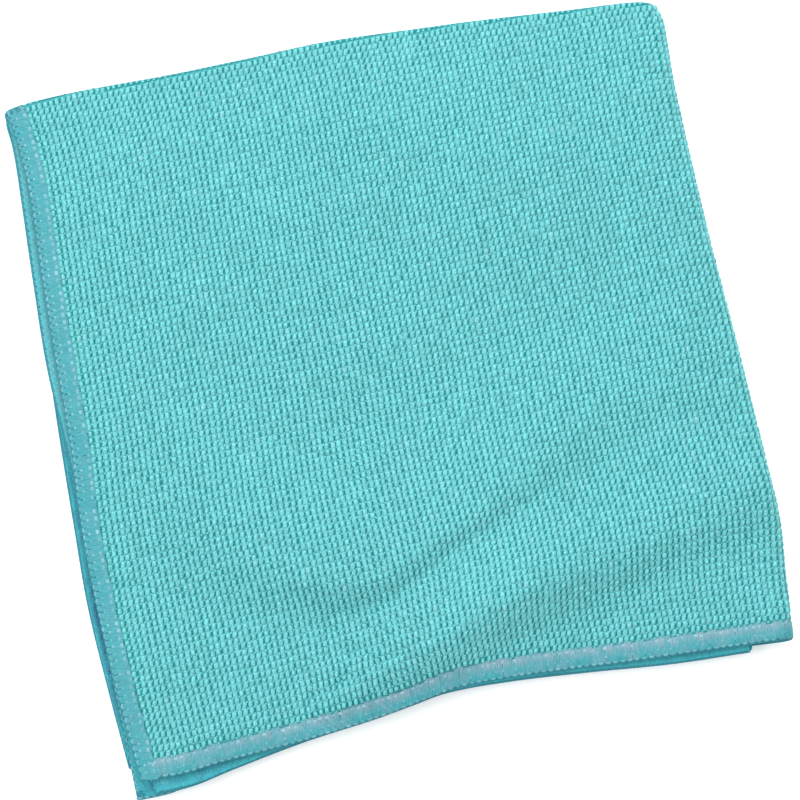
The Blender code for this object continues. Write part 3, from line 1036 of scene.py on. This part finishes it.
def stitches_on_line(tree, given, stitch):
    """A stitch from each point to the next along the guide, a pitch apart, each a little uneven."""
    pitch = named_attribute(tree, "pitch")
    line = add_node(tree, "GeometryNodeMeshToCurve", {0: given["Geometry"]})
    points = add_node(tree, "GeometryNodeResampleCurve", {0: line, "Length": pitch}, mode="LENGTH")
    last = add_node(tree, "GeometryNodeCurveEndpointSelection", {"Start Size": 0, "End Size": 1})
    others = add_node(tree, "FunctionNodeBooleanMath", {0: last}, operation="NOT")
    rotation = turned(tree, {"Y": "inward", "Z": "facing"}, 0.0, 0.0,
                      product(one_off(given, 1), given["Unevenness"]))
    size = vector(tree, figure("DIVIDE", pitch, STITCH_PITCH * MM),
                  around(given, 2, LENGTH_SPREAD), around(given, 3, HEIGHT_SPREAD))
    return stitched(given, points, stitch, rotation, size, Selection=others)


def thread_crest(across):
    """1 on the crests of the satin threads and 0 in the valleys beside them."""
    return figure("ABSOLUTE", wave_of(across, THREADS / 2.0))


def dash_stitch(tree, dash, paleness):
    dome, place = half_ball(tree, 6, 4)
    sized = vector_figure("MULTIPLY", place, (
        dash.length * MM / 2, dash.width * MM / 2, dash.height * MM))
    laid = vector_figure("ADD", sized, (0.0, dash.inset * MM, (THREAD_CLEARANCE + DASH_LIFT) * MM))
    inwards = (dash.inset - COVER_START) / (COVER_END - COVER_START)
    pale = keep_attribute(dome, "pale", paleness)
    return moved(keep_attribute(pale, "inwards", inwards), Position=laid)


def satin_threads(tree, given):
    """The satin threads of one stitch: a grid that rises in a crest for each of them."""
    grid = add_node(tree, "GeometryNodeMeshGrid", dict(enumerate(
        (1.0, 1.0, THREAD_VERTICES, THREAD_VERTICES))))
    parts = separate(add_node(tree, "GeometryNodeInputPosition"))
    step = figure("ADD", parts["Y"], 0.5)
    inwards = figure("POWER", step, THREAD_CROWDING)
    # Before the threads fan out they may leave a small hole between stitches
    fanned = remap(inwards, *FANNING, given["Filled"], FANNED_WIDTH,
                   interpolation_type="SMOOTHSTEP")
    along = figure("MULTIPLY_ADD", parts["X"], fanned,
                   figure("MULTIPLY_ADD", inwards, THREAD_SLANT, 0.5))
    hump = figure("MAXIMUM", product(step, figure("SUBTRACT", 1.0, step), 4.0), 0.0)
    rise = product(figure("MULTIPLY_ADD", thread_crest(parts["X"]), 0.5, 0.5),
                   figure("POWER", hump, THREAD_SHOULDER))
    reach = figure("SUBTRACT", given["End"], given["Start"])
    laid = vector(
        tree, product(along, given["Pitch"]),
        figure("MULTIPLY_ADD", inwards, reach, given["Start"]),
        figure("MULTIPLY_ADD", rise, given["Height"], THREAD_CLEARANCE * MM))
    stored = keep_attribute(grid, "inwards", inwards)
    strand = vector(tree, parts["X"], inwards)
    return moved(keep_attribute(stored, "strand", strand, kind="FLOAT_VECTOR"), Position=laid)


def cover_tree():
    """Satin threads across the hem, with a pale dash between bundles and the needle's stitch."""
    tree, given = new_tree("hem_cover", "Pitch Start End Height Filled Dashes Needles Unevenness")
    threads = satin_threads(tree, given)
    stitch = tree.nodes.new("GeometryNodeJoinGeometry")
    for part in (dash_stitch(tree, NEEDLE_DASH, given["Needles"]),
                 dash_stitch(tree, BUNDLE_DASH, given["Dashes"]), threads):
        tree.links.new(part.outputs[0], stitch.inputs[0])
    stitches = stitches_on_line(tree, given, stitch)
    # The threads follow the bend of the hem under them
    inwards = named_attribute(tree, "inwards")
    height = product(inwards, figure("SUBTRACT", 1.0, inwards), 4.0, named_attribute(tree, "bend"))
    shift = add_node(tree, "ShaderNodeVectorMath", {
        0: named_attribute(tree, "facing", "FLOAT_VECTOR"), "Scale": height}, operation="SCALE")
    return finish_tree(tree, given, moved(stitches, Offset=shift))


def chain_tree():
    """The chain that binds the cut edge: one bowed thread from stitch to stitch."""
    tree, given = new_tree("hem_chain", "Pitch Bulge Rise Thread Unevenness")
    bow = add_node(tree, "GeometryNodeCurveQuadraticBezier", {"Resolution": 5, **{
        point.name: vector(
            tree, product(given["Pitch"], point.along),
            figure("MULTIPLY_ADD", given["Bulge"], -point.out, point.inward * MM),
            product(given["Rise"], point.up)) for point in CHAIN_BOW}})
    ring = add_node(tree, "GeometryNodeCurvePrimitiveCircle", {
        "Resolution": 5, "Radius": given["Thread"]})
    tube = add_node(tree, "GeometryNodeCurveToMesh", {"Curve": bow, "Profile Curve": ring})
    loop = keep_attribute(tube, "pale", CHAIN_PALENESS)
    return finish_tree(tree, given, stitches_on_line(tree, given, loop))


def satin_colouring():
    """A shader group for every satin thread: its two colours, pale dashes, streaks and the painted
    shade between its threads.
    """
    group, given = new_group(
        "ShaderNodeTree", "satin_colouring",
        {"Place": "Vector", "First Colour": "Color", "Second Colour": "Color",
         "Second From": "Float", "Second To": "Float"}, {"Colour": "Color"})
    tint, inwards, amount, pale = (
        read_attribute(group, name) for name in ("tint", "inwards", "second_colour", "pale"))
    strand = read_attribute(group, "strand", "Vector")
    # The second colour shows on the inner side of the hem, more in some stitches than others: lilac
    # in the thread itself, and on the lower layers' hems navy painted shade from the layers above
    inner = product(remap(inwards, given["Second From"], given["Second To"]),
                    remap(tint, 0.0, 1.0, 0.4), amount)
    patches = add_node(group, "ShaderNodeTexNoise", {
        "Vector": given["Place"], "Scale": LILAC_FINENESS, "Detail": 2.0})
    mottled = product(remap(patches, 0.4, 0.65, end=0.4), figure("SQRT", amount))
    colour = mix(figure("MAXIMUM", inner, mottled), given["First Colour"], given["Second Colour"])
    colour = mix(product(pale, remap(tint, 0.1, 0.9, 0.2)), colour, DASH_WHITE)
    # Each thread is painted darker in the valley beside it, as painted shade, and its filaments
    # make streaks across the hem
    valley = remap(thread_crest(separate(strand)["X"]), 0.0, 0.6, 0.8)
    streaks = add_node(group, "ShaderNodeTexNoise", {
        "Vector": vector_figure("MULTIPLY", strand, STREAK_FINENESS),
        "W": product(tint, STREAK_VARIETY), "Scale": 1.0, "Detail": 1.0}, noise_dimensions="4D")
    value = product(valley, remap(streaks, 0.3, 0.7, 0.82, 1.16))
    add_node(group, "NodeGroupOutput", {"Colour": toned(colour, value)})
    return group


SATIN = satin_colouring()


def satin_material(name, first_colour, second_colour, second_from, second_to):
    """A satin thread whose second colour comes in between two shares of the way inwards."""
    material, tree, shader = new_material(
        name, Roughness=0.6, Sheen_Weight=0.15, Sheen_Roughness=0.4, Specular_IOR_Level=0.3)
    coloured = add_node(tree, "ShaderNodeGroup", {
        "Place": object_place(tree), "First Colour": first_colour, "Second Colour": second_colour,
        "Second From": second_from, "Second To": second_to}, node_tree=SATIN)
    finish_yarn(tree, shader, coloured, fineness=3000.0, fluff=0.35, mottle=0.15,
                bump_height=0.00008)
    return material


satin = satin_material("satin_thread", SATIN_BLUE, SATIN_LILAC, 0.28, 0.7)
# The second layer's left hem: a lighter copy of the satin, as painted light in the top layer's
# shade
lit_satin = satin_material("lit_satin_thread", LIT_SATIN_BLUE, SATIN_LILAC, 0.2, 0.6)
# The lower layers' hems: a lighter teal as painted light, with navy painted shade coming in inwards
lower_satin = satin_material("lower_satin_thread", LOWER_LIT_TEAL, LOWER_SHADE_NAVY, 0.12, 0.3)

# How much of the pitch the threads fill beside the chain, and how pale each kind of dash is
COVERS = table("name runs finish seed filled dashes needles", (
    ("left_hem", LEFT_RUNS, satin, 21, 0.9, 0.7, 0.65),
    ("second_left_hem", SECOND_LEFT_RUNS, lit_satin, 25, 1.02, 0.5, 0.0),
    ("bottom_hem", BOTTOM_RUNS, satin, 22, 1.0, 0.35, 0.6),
    ("lower_hems", LOWER_RUNS, lower_satin, 23, 1.02, 0.1, 0.0),
))
hem_cover, hem_chain = cover_tree(), chain_tree()
hem = [
    grow(hem_guide(f"{cover.name}_lines", cover.runs, HEM_STAND), hem_cover,
         pitch=STITCH_PITCH * MM, start=COVER_START * MM, end=COVER_END * MM,
         height=THREAD_HEIGHT * MM, unevenness=STITCH_UNEVENNESS, **cover._asdict())
    for cover in COVERS]
hem.append(grow(
    hem_guide("edge_lines", CHAIN_RUNS, CHAIN_STAND), hem_chain, "edge_chains",
    pitch=STITCH_PITCH * MM, bulge=CHAIN_BULGE * MM, rise=CHAIN_RISE * MM,
    thread=CHAIN_THREAD * MM, unevenness=CHAIN_UNEVENNESS, seed=24, finish=satin))
